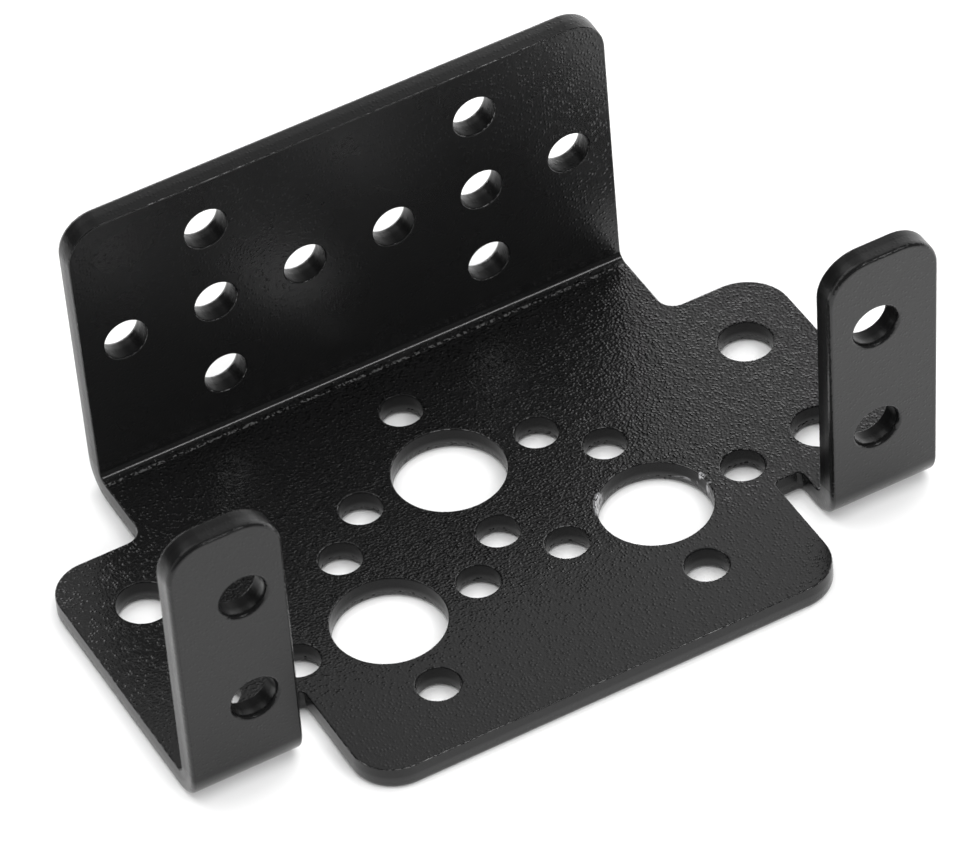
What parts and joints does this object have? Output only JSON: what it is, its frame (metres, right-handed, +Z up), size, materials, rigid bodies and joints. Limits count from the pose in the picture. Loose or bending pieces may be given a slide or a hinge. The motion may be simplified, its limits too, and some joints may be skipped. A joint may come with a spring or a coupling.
{
  "type": "servo mounting bracket",
  "caption": "Bent sheet bracket with a drilled base, a tall drilled back flange and two ears that hold a standard-size servo by its side tabs.",
  "frame": {"origin": "middle of the bounding box at the level of the underside", "axes": "+X along the wings (either end, the part is symmetric), +Y towards the back flange, +Z up, away from the underside"},
  "size_m": [0.0576, 0.0378, 0.0246],
  "materials": {
    "black_powder_coat": "satin black powder coat with a fine sandy grain"
  },
  "bodies": {
    "root": {"servo_bracket": "black_powder_coat"}
  },
  "joints": []
}
